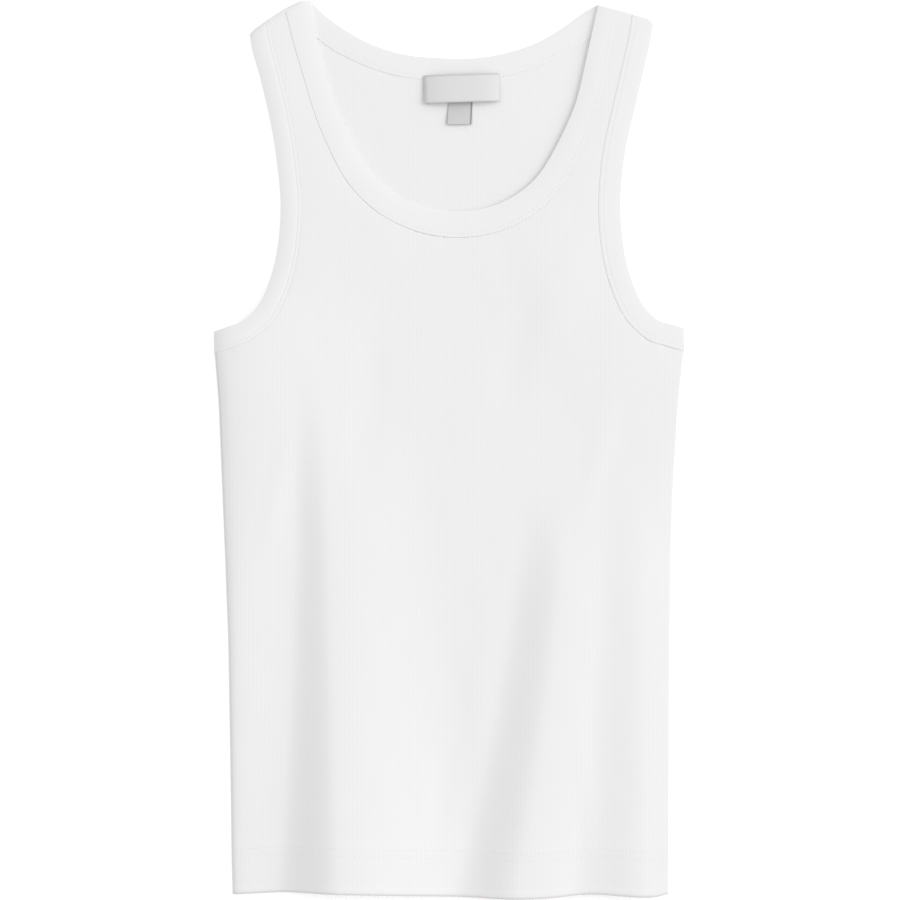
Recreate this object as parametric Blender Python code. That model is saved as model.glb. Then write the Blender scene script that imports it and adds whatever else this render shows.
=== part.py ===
# A sleeveless cotton tank top laid flat, front up.
# Metres, +Z up, +Y towards the neck, +X to the right. Left and right are as seen from above.
# The outline is drawn as marks: "across" from the middle of the cloth, "height" above the hem's lowest point.

from collections import namedtuple
from math import pi, radians, sin, sqrt

import bmesh
import bpy
from mathutils import Matrix, Vector

NAME = "tank_top"
LENGTH = 0.5965  # hem to the top of the straps

WALL = 0.0012  # rib jersey
BINDING_WALL = 0.0022  # a strip folded round the raw edge
BINDING_FOLD = 0.0008  # rounding of a binding's folded edge
LABEL_WALL = 0.0010  # a woven label folded in two
SEAM_GAP = 0.0003

BACK_HEM_RISE = 0.0015  # the back hem stops this much short of the front one

FRONT_REST = WALL + SEAM_GAP  # underside of the front pieces where they lie on the back panel
BINDING_REST = BINDING_WALL + SEAM_GAP  # the same where they lie on the back bindings
SIDE_EDGE_TOP = 0.0021  # outside of the front panel where it meets the back panel at a side
PUFF_REACH = 0.110  # how far in the puffs beside the side folds have sunk again
PUFF_TOP = 0.370  # the puffs fade away above this height
PUFF_FADE = 0.050
SHOULDER_ROLL = 0.0040  # how far the front curls down to a shoulder fold
SHOULDER_EDGE = 0.3  # how much of the curl is left right at the fold
FALL_KEPT = 0.4  # how much of a fold's fall keeps its width while the fold narrows upwards
FOLD_FADE = 2.4  # how sharply a fold ends at its top
STACK_REACH = 0.016  # from an armhole's edge to where the front starts to sink off the back binding
STACK_SLOPE = 0.030
STRAPS_START = 0.500  # above this height the front rises to lie on the back bindings
STRAPS_SLOPE = 0.040
BINDING_CURL = 0.006  # how far a binding thins towards a side fold
UNDERARM_TOP = 0.390  # above this height the bindings are clear of the side folds

Mark = namedtuple("Mark", "across height")
Width = namedtuple("Width", "at_ends in_middle")
Mesh = namedtuple("Mesh", "body_rows middle_rows columns edge_crowding")
Side = namedtuple("Side", "height left right")
Roll = namedtuple("Roll", "height left right left_puff right_puff left_rise right_rise")
Fold = namedtuple(
    "Fold", "hem_across mid_across top_across top_height lift rise_width top_width fall_width fade"
)
Label = namedtuple("Label", "name across height width depth tilt bottom colour")

SIDE_SEAMS = (
    Side(0.0037, -0.1440, 0.1453),
    Side(0.0260, -0.1447, 0.1453),
    Side(0.0920, -0.1453, 0.1459),
    Side(0.1720, -0.1466, 0.1460),
    Side(0.2250, -0.1487, 0.1467),
    Side(0.2780, -0.1512, 0.1485),
    Side(0.3310, -0.1534, 0.1518),
    Side(0.3620, -0.1562, 0.1550),
)
HEM = (
    Mark(-0.1440, 0.0037),
    Mark(-0.1054, 0.0050),
    Mark(-0.0650, 0.0028),
    Mark(-0.0250, 0.0014),
    Mark(0.0300, 0.0003),
    Mark(0.0650, 0.0008),
    Mark(0.0941, 0.0032),
    Mark(0.1307, 0.0012),
    Mark(0.1453, 0.0037),
)
# From the underarm up to the shoulder.
LEFT_ARMHOLE = (
    Mark(-0.1562, 0.3757),
    Mark(-0.1475, 0.3795),
    Mark(-0.1373, 0.3852),
    Mark(-0.1254, 0.3980),
    Mark(-0.1160, 0.4246),
    Mark(-0.1121, 0.4579),
    Mark(-0.1147, 0.4911),
    Mark(-0.1187, 0.5177),
    Mark(-0.1247, 0.5443),
    Mark(-0.1310, 0.5610),
    Mark(-0.1327, 0.5722),
)
RIGHT_ARMHOLE = (
    Mark(0.1562, 0.3781),
    Mark(0.1470, 0.3808),
    Mark(0.1380, 0.3850),
    Mark(0.1267, 0.3980),
    Mark(0.1174, 0.4246),
    Mark(0.1139, 0.4579),
    Mark(0.1162, 0.4911),
    Mark(0.1214, 0.5177),
    Mark(0.1280, 0.5443),
    Mark(0.1325, 0.5650),
    Mark(0.1353, 0.5789),
)
LEFT_NECK_POINT = Mark(-0.0929, 0.5962)
RIGHT_NECK_POINT = Mark(0.0992, 0.5938)
# From the left shoulder round to the right one.
FRONT_NECK = (
    LEFT_NECK_POINT,
    Mark(-0.0883, 0.5700),
    Mark(-0.0783, 0.5350),
    Mark(-0.0675, 0.5097),
    Mark(-0.0549, 0.4871),
    Mark(-0.0389, 0.4712),
    Mark(-0.0190, 0.4612),
    Mark(0.0023, 0.4572),
    Mark(0.0240, 0.4592),
    Mark(0.0432, 0.4672),
    Mark(0.0589, 0.4805),
    Mark(0.0703, 0.4985),
    Mark(0.0795, 0.5170),
    Mark(0.0861, 0.5330),
    Mark(0.0921, 0.5576),
    RIGHT_NECK_POINT,
)
BACK_NECK = (
    LEFT_NECK_POINT,
    Mark(-0.0815, 0.5858),
    Mark(-0.0655, 0.5747),
    Mark(-0.0495, 0.5665),
    Mark(-0.0283, 0.5605),
    Mark(-0.0035, 0.5582),
    Mark(0.0143, 0.5582),
    Mark(0.0356, 0.5614),
    Mark(0.0569, 0.5683),
    Mark(0.0728, 0.5770),
    Mark(0.0888, 0.5880),
    RIGHT_NECK_POINT,
)
FRONT_NECK_WIDTH = Width(0.0142, 0.0168)
BACK_NECK_WIDTH = Width(0.0138, 0.0142)
ARMHOLE_WIDTH = Width(0.0142, 0.0142)

# Width of the curl down to each side fold, height of the puff beside it, and how far in that rises.
SIDE_ROLLS = (
    Roll(0.0000, 0.0055, 0.0030, 0.0003, 0.0000, 0.012, 0.020),
    Roll(0.2000, 0.0055, 0.0030, 0.0004, 0.0000, 0.014, 0.020),
    Roll(0.2600, 0.0065, 0.0040, 0.0022, 0.0002, 0.026, 0.020),
    Roll(0.3200, 0.0075, 0.0060, 0.0038, 0.0006, 0.032, 0.024),
    Roll(0.3900, 0.0075, 0.0060, 0.0038, 0.0006, 0.032, 0.024),
)
# Long soft folds of the front, fading upwards. Each rises on the left of its ridge and falls on the right.
FRONT_FOLDS = (
    Fold(-0.0735, -0.0786, -0.0850, 0.340, 0.0114, 0.0420, 0.0200, 0.1050, 0.54),
    Fold(0.0440, 0.0655, 0.0805, 0.290, 0.0090, 0.0430, 0.0300, 0.0960, 0.44),
    Fold(0.1265, 0.1265, 0.1260, 0.300, 0.0058, 0.0400, 0.0300, 0.1100, 0.66),
)

LABELS = (
    Label("neck_label", 0.0083, 0.5399, 0.0505, 0.0180, 1.8, BINDING_REST, (0.80, 0.80, 0.79)),
    Label("size_tab", 0.0078, 0.5215, 0.0165, 0.0170, 1.0, FRONT_REST, (0.71, 0.71, 0.70)),
)

# Middle rows run from the underarm level to the neck seam, on the middle line.
FRONT_MESH = Mesh(18, 6, 16, 1.35)
BACK_MESH = Mesh(9, 18, 8, 1.0)

COTTON = (0.83, 0.83, 0.835)
UPPER_ROWS = 28  # from the underarms to the shoulders
ARMHOLE_CROWDING = 1.3  # draws the rows together towards the underarms
UNDERARM_LEVEL = 0.3640  # where the rows of the body end on the middle line
END_TURN = 0.020  # a strip's cross lines turn to the shoulder or side line over this length


def clear_scene():
    for old in list(bpy.data.objects):
        bpy.data.objects.remove(old, do_unlink=True)


def ease(t):
    t = min(max(t, 0.0), 1.0)
    return t * t * (3 - 2 * t)


def quarter_round(t):
    t = min(max(t, 0.0), 1.0)
    return sqrt(1 - (1 - t) ** 2)


def column(rows, height, name):
    """A table's column read between its rows."""
    for low, high in zip(rows, rows[1:]):
        if height <= high.height:
            t = min(max((height - low.height) / (high.height - low.height), 0.0), 1.0)
            return getattr(low, name) * (1 - t) + getattr(high, name) * t
    return getattr(rows[-1], name)


def curve_through(marks, steps=12):
    """A smooth curve through marks, as closely spaced points."""
    points = [Vector((mark.across, mark.height)) for mark in marks]
    ends = [2 * points[0] - points[1]] + points + [2 * points[-1] - points[-2]]
    path = []
    for before, start, end, after in zip(ends, ends[1:], ends[2:], ends[3:]):
        for step in range(steps):
            t = step / steps
            pull = (end - before) * t + (2 * before - 5 * start + 4 * end - after) * t**2
            pull += (3 * start - before - 3 * end + after) * t**3
            path.append(start + pull / 2)
    return path + [points[-1]]


def lengths_along(path):
    lengths = [0.0]
    for start, end in zip(path, path[1:]):
        lengths.append(lengths[-1] + (end - start).length)
    return lengths


def evenly(path, count, crowding=1.0):
    """The path again, as count + 1 points an even distance apart, or crowded towards its start."""
    lengths = lengths_along(path)
    points = []
    piece = 0
    for step in range(count + 1):
        wanted = lengths[-1] * (step / count) ** crowding
        while piece < len(path) - 2 and lengths[piece + 1] < wanted:
            piece += 1
        span = lengths[piece + 1] - lengths[piece]
        points.append(path[piece].lerp(path[piece + 1], (wanted - lengths[piece]) / span))
    return points


class Strip:
    """The stations of a binding: its edge, and its seam a binding's width into the cloth."""

    def __init__(self, edge, width, inwards, first_cross, last_cross):
        self.edge = edge
        turns = [pi * index / (len(edge) - 1) for index in range(len(edge))]
        self.widths = [width.at_ends + (width.in_middle - width.at_ends) * sin(turn) for turn in turns]
        self.cross = []
        lengths = lengths_along(edge)
        for index, along in enumerate(lengths):
            ahead = edge[min(index + 1, len(edge) - 1)] - edge[max(index - 1, 0)]
            normal = inwards * Vector((-ahead.y, ahead.x)).normalized()
            turned = normal.lerp(first_cross, 1 - ease(along / END_TURN))
            turned = turned.lerp(last_cross, 1 - ease((lengths[-1] - along) / END_TURN))
            turned.normalize()
            self.cross.append(turned / turned.dot(normal))

    def seam(self):
        """Where the panel's edge lies, a seam's gap beyond the binding."""
        stations = zip(self.edge, self.cross, self.widths)
        return [point + cross * (width + SEAM_GAP) for point, cross, width in stations]


def shoulder_direction(armhole, neck_point):
    return (Vector(neck_point) - Vector(armhole[-1])).normalized()


DOWN = Vector((0, -1))
ARMHOLES = {"left": LEFT_ARMHOLE, "right": RIGHT_ARMHOLE}
NECK_POINTS = {"left": LEFT_NECK_POINT, "right": RIGHT_NECK_POINT}
INTO_CLOTH = {"left": -1, "right": 1}
SHOULDERS = {side: shoulder_direction(ARMHOLES[side], NECK_POINTS[side]) for side in ARMHOLES}
ARMHOLE_PATHS = {side: curve_through(ARMHOLES[side]) for side in ARMHOLES}


def armhole_strip(side):
    edge = evenly(ARMHOLE_PATHS[side], UPPER_ROWS, ARMHOLE_CROWDING)
    return Strip(edge, ARMHOLE_WIDTH, INTO_CLOTH[side], DOWN, SHOULDERS[side])


def neck_strip(path, width, mesh):
    """A neck binding, with its middle station on the middle line of the panel."""
    rows = UPPER_ROWS - mesh.middle_rows
    lowest = min(range(len(path)), key=lambda index: path[index].y)
    edge = evenly(path[: lowest + 1], rows) + evenly(path[lowest:], rows)[1:]
    return Strip(edge, width, -1, -SHOULDERS["left"], -SHOULDERS["right"])


ARMHOLE_STRIPS = {side: armhole_strip(side) for side in ARMHOLES}
FRONT_NECK_STRIP = neck_strip(curve_through(FRONT_NECK), FRONT_NECK_WIDTH, FRONT_MESH)
BACK_NECK_STRIP = neck_strip(curve_through(BACK_NECK), BACK_NECK_WIDTH, BACK_MESH)


def distance_to_path(point, path):
    return min((point - other).length for other in path)


def side_distance(point):
    """How far a point lies in from the nearer side fold."""
    height = min(point.y, SIDE_SEAMS[-1].height)
    left = point.x - column(SIDE_SEAMS, height, "left")
    right = column(SIDE_SEAMS, height, "right") - point.x
    return min(left, right), "left" if left < right else "right"


def shoulder_distance(point):
    side = "left" if point.x < 0 else "right"
    run = SHOULDERS[side]
    from_neck = Vector(NECK_POINTS[side]) - point
    return abs(run.x * from_neck.y - run.y * from_neck.x)


def fold_height(point):
    """The long folds of the front at a point."""
    total = 0.0
    for fold in FRONT_FOLDS:
        t = min(max(point.y / fold.top_height, 0.0), 1.0)
        ridge = fold.hem_across * (1 - t) * (1 - 2 * t) + 4 * fold.mid_across * t * (1 - t)
        ridge += fold.top_across * t * (2 * t - 1)
        narrowed = (fold.top_width + (fold.rise_width - fold.top_width) * (1 - t) ** 2) / fold.rise_width
        rise_width = fold.rise_width * narrowed
        fall_width = fold.fall_width * (FALL_KEPT + (1 - FALL_KEPT) * narrowed)
        width = rise_width if point.x < ridge else fall_width
        lift = fold.lift * narrowed * (1 - fold.fade * t) * ease(FOLD_FADE * (1 - t))
        total += lift * (1 - ease(abs(point.x - ridge) / width))
    return total


def over_straps(point):
    return ease((point.y - STRAPS_START) / STRAPS_SLOPE)


def stack_lift(point):
    """The front rides up where it lies over the back bindings, beside the armholes and on the straps."""
    near = min(distance_to_path(point, ARMHOLE_PATHS[side]) for side in ARMHOLE_PATHS)
    over_armhole = 1 - ease((near - STACK_REACH) / STACK_SLOPE)
    return (BINDING_REST - FRONT_REST) * max(over_armhole, over_straps(point))


def front_floor(point):
    """What the front panel lies on: the back panel, and the back neck binding on the straps."""
    return FRONT_REST + (BINDING_REST - FRONT_REST) * over_straps(point)


def shoulder_curl(point):
    return quarter_round(SHOULDER_EDGE + (1 - SHOULDER_EDGE) * shoulder_distance(point) / SHOULDER_ROLL)


def front_top(point):
    """Height of the front panel's outside over the surface that the cloth lies on."""
    side, name = side_distance(point)
    height = FRONT_REST + WALL + stack_lift(point) + fold_height(point)
    puff = column(SIDE_ROLLS, point.y, name + "_puff") * (1 - ease((point.y - PUFF_TOP) / PUFF_FADE))
    puff *= ease(side / column(SIDE_ROLLS, point.y, name + "_rise")) * (1 - ease(side / PUFF_REACH))
    height += puff
    curl = quarter_round(side / column(SIDE_ROLLS, point.y, name)) * shoulder_curl(point)
    return SIDE_EDGE_TOP + (height - SIDE_EDGE_TOP) * curl


def hem_height(across):
    path = HEM_PATH
    for start, end in zip(path, path[1:]):
        if across <= end.x:
            t = min(max((across - start.x) / (end.x - start.x), 0.0), 1.0)
            return start.y * (1 - t) + end.y * t
    return path[-1].y


HEM_PATH = curve_through(HEM)


def side_path(side, rows):
    """Points up a side seam, from the hem to the end of the armhole binding."""
    low = SIDE_SEAMS[0].height
    high = ARMHOLE_STRIPS[side].seam()[0].y
    heights = [low + (high - low) * row / rows for row in range(rows + 1)]
    return [Vector((column(SIDE_SEAMS, height, side), height)) for height in heights]


def neck_half(strip, side):
    """The neck seam from the middle line up to one shoulder."""
    seam = strip.seam()
    middle = len(seam) // 2
    return seam[middle::-1] if side == "left" else seam[middle:]


def panel_half(side, neck, mesh):
    """Rows of points over half a panel, each from the outer edge to the middle or the neck seam."""
    outer = side_path(side, mesh.body_rows) + ARMHOLE_STRIPS[side].seam()[1:]
    half_neck = neck_half(neck, side)
    level = Vector((half_neck[0].x, UNDERARM_LEVEL))
    hem = Vector((level.x, hem_height(level.x)))
    inner = evenly([hem, level], mesh.body_rows)
    inner += evenly([level, half_neck[0]], mesh.middle_rows)[1:] + half_neck[1:]
    shares = [(step / mesh.columns) ** mesh.edge_crowding for step in range(mesh.columns + 1)]
    rows = []
    for index, (start, end) in enumerate(zip(outer, inner)):
        row = [start.lerp(end, share) for share in shares]
        sag = max(1 - index / mesh.body_rows, 0.0) ** 3
        for point, share in zip(row, shares):
            straight = outer[0].y * (1 - share) + inner[0].y * share
            point.y += sag * (hem_height(point.x) - straight)
        rows.append(row)
    return rows


def place(point, height):
    """A point of the outline at a height over the surface, with the cloth's middle over the origin."""
    return Vector((point.x, point.y - LENGTH / 2, height))


def cotton(name, colour, roughness):
    material = bpy.data.materials.new(name)
    material.use_nodes = True
    shader = material.node_tree.nodes["Principled BSDF"]
    shader.inputs["Base Color"].default_value = (*colour, 1)
    shader.inputs["Roughness"].default_value = roughness
    shader.inputs["Metallic"].default_value = 0
    material.diffuse_color = (*colour, 1)
    return material


def add_object(collection, name, bm, colour, roughness=0.9):
    mesh = bpy.data.meshes.new(name)
    bmesh.ops.recalc_face_normals(bm, faces=bm.faces)
    bm.to_mesh(mesh)
    bm.free()
    mesh.shade_smooth()
    mesh.set_sharp_from_angle(angle=radians(50))
    mesh.materials.append(cotton(name, colour, roughness))
    added = bpy.data.objects.new(name, mesh)
    collection.objects.link(added)
    return added


def lay_grid(bm, rows, height_of):
    """A grid of faces over rows of outline points, facing up."""
    across, along = len(rows[0]) - 1, len(rows) - 1
    made = bmesh.ops.create_grid(bm, x_segments=across, y_segments=along, size=1)["verts"]
    for vert in made:
        x = round((vert.co.x + 1) / 2 * across)
        y = round((vert.co.y + 1) / 2 * along)
        point = rows[y][x]
        vert.co = place(point, height_of(point))


def thicken(bm, wall, floor_of):
    """Gives the laid cloth its wall below, and keeps it clear of what it lies on."""
    bmesh.ops.remove_doubles(bm, verts=bm.verts, dist=0.00005)
    bmesh.ops.recalc_face_normals(bm, faces=bm.faces)
    if bm.faces[0].normal.z < 0:
        bmesh.ops.reverse_faces(bm, faces=bm.faces)
    top = set(bm.verts)
    bmesh.ops.solidify(bm, geom=bm.faces, thickness=wall)
    for vert in bm.verts:
        if vert not in top:
            point = Vector((vert.co.x, vert.co.y + LENGTH / 2))
            vert.co.z = max(vert.co.z, floor_of(point))


def build_front_panel(collection):
    bm = bmesh.new()
    for side in ARMHOLES:
        lay_grid(bm, panel_half(side, FRONT_NECK_STRIP, FRONT_MESH), front_top)
    thicken(bm, WALL, front_floor)
    return add_object(collection, "front_panel", bm, COTTON)


def build_back_panel(collection):
    bm = bmesh.new()
    for side in ARMHOLES:
        rows = panel_half(side, BACK_NECK_STRIP, BACK_MESH)
        for point in rows[0]:
            point.y += BACK_HEM_RISE
        lay_grid(bm, rows, lambda _: WALL)
    thicken(bm, WALL, lambda _: 0.0)
    return add_object(collection, "back_panel", bm, COTTON)


def binding_section(width):
    """A folded strip across its width: distance in from the fold, and height as a share of its wall."""
    return (
        (width, 0.0),
        (BINDING_FOLD, 0.0),
        (0.0, 0.3),
        (0.0, 0.7),
        (BINDING_FOLD, 0.97),
        (width / 2, 1.0),
        (width - BINDING_FOLD / 2, 0.97),
        (width, 0.8),
    )


def loft(bm, rings):
    """A closed tube through rings of points, capped at both ends."""
    loops = [[bm.verts.new(point) for point in ring] for ring in rings]
    for first, second in zip(loops, loops[1:]):
        for index, vert in enumerate(first):
            after = (index + 1) % len(first)
            bm.faces.new((vert, first[after], second[after], second[index]))
    bm.faces.new(loops[0])
    bm.faces.new(reversed(loops[-1]))


def build_binding(collection, name, strip, rest_of, wall_of):
    bm = bmesh.new()
    rings = []
    for edge, cross, width in zip(strip.edge, strip.cross, strip.widths):
        ring = []
        for inwards, share in binding_section(width):
            point = edge + cross * inwards
            ring.append(place(point, rest_of(point) + wall_of(point) * share))
        rings.append(ring)
    loft(bm, rings)
    return add_object(collection, name, bm, COTTON)


def front_binding_wall(point):
    """A binding thins where it curls to the side folds and over the shoulders."""
    side, _ = side_distance(point)
    curl = quarter_round(side / BINDING_CURL) if point.y < UNDERARM_TOP else 1.0
    return BINDING_WALL * (0.5 + 0.5 * curl * shoulder_curl(point))


def front_rest(point):
    return FRONT_REST + stack_lift(point)


def build_bindings(collection):
    build_binding(
        collection, "neck_binding_front", FRONT_NECK_STRIP, front_rest, front_binding_wall
    )
    build_binding(
        collection, "neck_binding_back", BACK_NECK_STRIP, lambda _: 0.0, lambda _: BINDING_WALL
    )
    for side, strip in ARMHOLE_STRIPS.items():
        name = f"armhole_binding_{side}"
        build_binding(collection, name + "_front", strip, lambda _: BINDING_REST, front_binding_wall)
        build_binding(collection, name + "_back", strip, lambda _: 0.0, lambda _: BINDING_WALL)


def build_label(collection, label):
    bm = bmesh.new()
    bmesh.ops.create_cube(bm, size=1)
    long_edges = [edge for edge in bm.edges if abs((edge.verts[0].co - edge.verts[1].co).x) > 0.5]
    bmesh.ops.subdivide_edges(bm, edges=long_edges, cuts=3, use_grid_fill=True)
    turn = Matrix.Rotation(radians(label.tilt), 2)
    for vert in bm.verts:
        flat = turn @ Vector((vert.co.x * label.width, vert.co.y * label.depth))
        point = Vector((label.across, label.height)) + flat
        vert.co = place(point, label.bottom + (vert.co.z + 0.5) * LABEL_WALL)
    return add_object(collection, label.name, bm, label.colour, 0.6)


def main():
    clear_scene()
    collection = bpy.data.collections.new(NAME)
    bpy.context.scene.collection.children.link(collection)
    build_back_panel(collection)
    build_front_panel(collection)
    build_bindings(collection)
    for label in LABELS:
        build_label(collection, label)


main()
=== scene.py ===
# Rib-knit tank top laid flat, front up, with its neck towards +Y.
# Cloth points are (across, height): across from the middle line, height above the lowest point of the hem.
from math import radians

import bmesh
import bpy
import numpy as np
from mathutils import Matrix, Vector


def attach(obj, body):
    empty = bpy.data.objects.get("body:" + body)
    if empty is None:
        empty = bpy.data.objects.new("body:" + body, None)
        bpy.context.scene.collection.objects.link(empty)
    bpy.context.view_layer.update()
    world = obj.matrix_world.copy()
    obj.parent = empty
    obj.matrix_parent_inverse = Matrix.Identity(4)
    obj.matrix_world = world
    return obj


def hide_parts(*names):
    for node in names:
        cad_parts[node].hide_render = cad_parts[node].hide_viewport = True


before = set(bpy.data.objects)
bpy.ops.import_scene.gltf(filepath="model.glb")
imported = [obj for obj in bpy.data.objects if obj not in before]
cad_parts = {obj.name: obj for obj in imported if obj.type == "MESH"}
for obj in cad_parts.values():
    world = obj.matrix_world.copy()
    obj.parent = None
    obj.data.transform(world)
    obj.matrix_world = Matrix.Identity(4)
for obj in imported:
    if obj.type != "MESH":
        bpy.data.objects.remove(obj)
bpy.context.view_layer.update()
scene = bpy.context.scene

mm = 0.001
garment = {
    "length": 0.5965,  # hem to the top of the straps
    "wall": 1.1 * mm,  # one layer of rib jersey
    "solidWall": 1.2 * mm,  # the same layer in the solid model
    "leastWall": 0.04 * mm,  # what is left of it where it tapers to an edge
    "frontRest": 1.5 * mm,  # underside of the front over the back panel
    "bindingRest": 2.5 * mm,  # underside of the front bindings over the back ones
}


# small shared helpers
def ease(t):
    t = np.clip(t, 0, 1)
    return t * t * (3 - 2 * t)


def quarterRound(t):
    t = np.clip(t, 0, 1)
    return np.sqrt(1 - (1 - t) ** 2)


def hump(distance, width):
    return 1 - ease(np.abs(distance) / width)


def curveThrough(marks, steps=12):
    # a smooth curve through the marks, as closely spaced points
    points = np.array(marks, float)
    ends = np.vstack([2 * points[0] - points[1], points, 2 * points[-1] - points[-2]])
    path = []
    for before, start, end, after in zip(ends, ends[1:], ends[2:], ends[3:]):
        for step in range(steps):
            t = step / steps
            pull = (end - before) * t + (2 * before - 5 * start + 4 * end - after) * t**2
            pull = pull + (3 * start - before - 3 * end + after) * t**3
            path.append(start + pull / 2)
    return np.array(path + [points[-1]])


def lengthsAlong(path):
    return np.concatenate([[0], np.cumsum(np.linalg.norm(np.diff(path, axis=0), axis=1))])


def along(path, wanted):
    # points at the wanted lengths along a path
    lengths = lengthsAlong(path)
    return np.stack([np.interp(wanted, lengths, path[:, axis]) for axis in (0, 1)], axis=-1)


def evenly(path, count):
    return along(path, lengthsAlong(path)[-1] * (np.arange(count + 1) / count))


def nearest(x, h, path, widths=0):
    # how far points lie from a path, or from the far side of a strip of these widths along it
    spots = np.stack([np.ravel(x), np.ravel(h)], axis=-1)
    away = np.full(len(spots), np.inf)
    for point, width in zip(path, np.broadcast_to(widths, len(path))):
        away = np.minimum(away, np.hypot(*(spots - point).T) - width)
    return away.reshape(np.shape(x))


# the cut: the outline of the flat garment
sideSeams = {
    "height": (0.0037, 0.0260, 0.0920, 0.1720, 0.2250, 0.2780, 0.3310, 0.3620, 0.3700),
    "left": (-0.1441, -0.1448, -0.1457, -0.1471, -0.1491, -0.1513, -0.1535, -0.1560, -0.1564),
    "right": (0.1456, 0.1457, 0.1465, 0.1470, 0.1476, 0.1493, 0.1529, 0.1562, 0.1572),
}
hemMarks = (
    (-0.1440, 0.0028), (-0.1054, 0.0044), (-0.0650, 0.0040), (-0.0250, 0.0026), (0.0300, 0.0008),
    (0.0650, 0.0013), (0.0941, 0.0036), (0.1307, 0.0019), (0.1453, 0.0041),
)
# armholes run from the underarm up to the shoulder, necks from the left shoulder to the right one
armholeMarks = {
    "left": (
        (-0.1564, 0.3770), (-0.1475, 0.3801), (-0.1373, 0.3844), (-0.1254, 0.3970), (-0.1158, 0.4240),
        (-0.1121, 0.4579), (-0.1148, 0.4911), (-0.1192, 0.5177), (-0.1257, 0.5443), (-0.1307, 0.5610),
        (-0.1327, 0.5722),
    ),
    "right": (
        (0.1571, 0.3788), (0.1470, 0.3820), (0.1380, 0.3852), (0.1267, 0.3980), (0.1174, 0.4246),
        (0.1139, 0.4579), (0.1162, 0.4911), (0.1216, 0.5177), (0.1281, 0.5443), (0.1333, 0.5650),
        (0.1357, 0.5789),
    ),
}
neckPoints = {"left": (-0.0929, 0.5962), "right": (0.0992, 0.5938)}
frontNeckMarks = (
    neckPoints["left"], (-0.0883, 0.5700), (-0.0783, 0.5350), (-0.0675, 0.5097), (-0.0549, 0.4871),
    (-0.0389, 0.4712), (-0.0190, 0.4612), (0.0023, 0.4572), (0.0240, 0.4592), (0.0432, 0.4672),
    (0.0589, 0.4805), (0.0703, 0.4985), (0.0793, 0.5170), (0.0853, 0.5330), (0.0911, 0.5576),
    neckPoints["right"],
)
backNeckMarks = (
    neckPoints["left"], (-0.0815, 0.5855), (-0.0655, 0.5748), (-0.0495, 0.5671), (-0.0283, 0.5610),
    (-0.0035, 0.5588), (0.0143, 0.5587), (0.0356, 0.5617), (0.0569, 0.5683), (0.0728, 0.5768),
    (0.0888, 0.5880), neckPoints["right"],
)
sides = ("left", "right")
hemPath = curveThrough(hemMarks)
armholePaths = {side: curveThrough(armholeMarks[side]) for side in sides}
neckPaths = {"front": curveThrough(frontNeckMarks), "back": curveThrough(backNeckMarks)}
shoulderRuns = {}
for side in sides:
    run = np.subtract(neckPoints[side], armholeMarks[side][-1])
    shoulderRuns[side] = run / np.linalg.norm(run)


def hemHeight(x):
    return np.interp(x, hemPath[:, 0], hemPath[:, 1])


def sideAcross(side, h):
    return np.interp(h, sideSeams["height"], sideSeams[side])


def sideDistance(x, h):
    return np.minimum(x - sideAcross("left", h), sideAcross("right", h) - x)


def shoulderDistance(x, h):
    away = []
    for side in sides:
        run, start = shoulderRuns[side], neckPoints[side]
        away.append(np.abs(run[0] * (start[1] - h) - run[1] * (start[0] - x)))
    return np.where(x < 0, *away)


# the lie of the cloth
folds = {  # long soft folds of the front: they rise on the left of each ridge and fall on its right
    "hemAcross": (-0.0735, 0.0440, 0.1300),
    "midAcross": (-0.0786, 0.0668, 0.1305),
    "topAcross": (-0.0850, 0.0805, 0.1290),
    "topHeight": (0.375, 0.290, 0.300),
    "lift": (11.6 * mm, 8.8 * mm, 8.0 * mm),
    "riseWidth": (0.0420, 0.0430, 0.0510),
    "topWidth": (0.0200, 0.0300, 0.0300),
    "fallWidth": (0.1050, 0.0960, 0.1100),
    "fade": (0.65, 0.46, 0.68),
}
fallKept = 0.4  # how much of a fold's fall keeps its width while the fold narrows upwards
foldEnd = 3.0  # how sharply a fold ends at its top
sideLie = {
    "edgeTop": 2.1 * mm, "foldLevel": 1.35 * mm,  # the front beside a side fold, and the fold's own line
    "underarm": 0.355, "underarmSlope": 0.015, "underarmLift": 1.0 * mm,  # it lies higher at the underarms
    "puffTop": 0.37, "puffFade": 0.05,  # the puffs fade away above this height
    "bindingsClear": 0.40,  # above this height the bindings are clear of the side folds
    "bindingStart": 0.1, "bindingKept": 0.06,  # shares of a binding's curl and thickness left at a fold
    "height": (0.0, 0.10, 0.20, 0.26, 0.32, 0.39),
    # up each side: width of the curl, then height of the puff beside it, how fast that rises and
    # how far in it ends
    "left": {
        "foldWidth": 1.35 * mm, "bindingCurl": 3.5 * mm, "shoulderRoll": 4.0 * mm,
        "roll": (3.5 * mm, 3.5 * mm, 4.5 * mm, 6.5 * mm, 7.0 * mm, 7.0 * mm),
        "puff": (1.2 * mm, 1.4 * mm, 1.9 * mm, 2.7 * mm, 3.3 * mm, 2.8 * mm),
        "rise": (3.3 * mm, 3.3 * mm, 4.0 * mm, 8.0 * mm, 10.0 * mm, 9.0 * mm),
        "reach": (40 * mm, 42 * mm, 50 * mm, 80 * mm, 110 * mm, 110 * mm),
    },
    "right": {
        "foldWidth": 0.4 * mm, "bindingCurl": 0.8 * mm, "shoulderRoll": 1.0 * mm,
        "roll": (0.5 * mm, 0.5 * mm, 0.5 * mm, 0.6 * mm, 0.8 * mm, 0.8 * mm),
        "puff": (0.3 * mm,) * 6,
        "rise": (8 * mm, 8 * mm, 8 * mm, 9 * mm, 10 * mm, 10 * mm),
        "reach": (110 * mm,) * 6,
    },
}
shoulderLevel = 2.35 * mm  # height of the shoulder folds
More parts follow.
